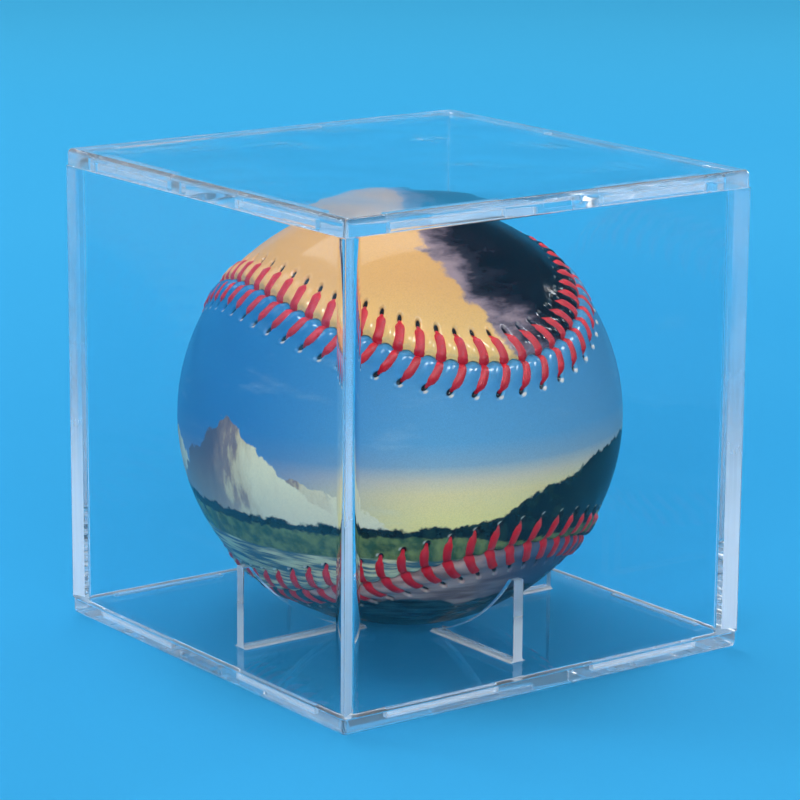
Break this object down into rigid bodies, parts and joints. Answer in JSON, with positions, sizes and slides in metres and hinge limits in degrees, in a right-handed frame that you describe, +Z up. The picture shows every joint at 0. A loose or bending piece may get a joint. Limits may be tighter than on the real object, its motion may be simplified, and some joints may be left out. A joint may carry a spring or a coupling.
{
  "type": "baseball display case",
  "caption": "Clear cube display case with a plug-on lid and lift-off walls, holding a sewn baseball with a printed landscape on a cradle of upright fins.",
  "frame": {"origin": "middle of the base plate's underside, on the surface that the case stands on", "axes": "+Z up, -Y out of the front wall, +X to the right as seen from the front"},
  "size_m": [0.082, 0.082, 0.082],
  "materials": {
    "clear_acrylic": "clear and polished",
    "cork": "raw",
    "black_rubber": "matte",
    "red_rubber": "matte",
    "grey_wool": "wound yarn",
    "white_wool": "wound yarn",
    "white_cotton": "wound yarn",
    "printed_cover": "glossy, printed with a landscape",
    "red_thread": "waxed thread"
  },
  "bodies": {
    "base": {"base_plate": "clear_acrylic", "cradle_fin_front": "clear_acrylic", "cradle_fin_back": "clear_acrylic", "cradle_fin_left": "clear_acrylic", "cradle_fin_right": "clear_acrylic"},
    "walls": {"wall_front": "clear_acrylic", "wall_back": "clear_acrylic", "wall_left": "clear_acrylic", "wall_right": "clear_acrylic"},
    "lid": {"lid_plate": "clear_acrylic"},
    "ball": {"ball_cork_core": "cork", "ball_rubber_half_upper": "black_rubber", "ball_rubber_half_lower": "black_rubber", "ball_rubber_cover": "red_rubber", "ball_winding_first": "grey_wool", "ball_winding_second": "white_wool", "ball_winding_third": "grey_wool", "ball_winding_finish": "white_cotton", "ball_cover_front": "printed_cover", "ball_cover_back": "printed_cover", "ball_stitching": "red_thread"}
  },
  "joints": [
    {"name": "walls_lift", "type": "slide", "parent": "base", "child": "walls", "axis": [0, 0, 1], "range_m": [0, 0.09]},
    {"name": "lid_lift", "type": "slide", "parent": "walls", "child": "lid", "axis": [0, 0, 1], "range_m": [0, 0.04]},
    {"name": "ball_turn", "type": "hinge", "parent": "base", "child": "ball", "pos_m": [0, 0, 0.039], "axis": [0, 0, 1], "continuous": true}
  ]
}
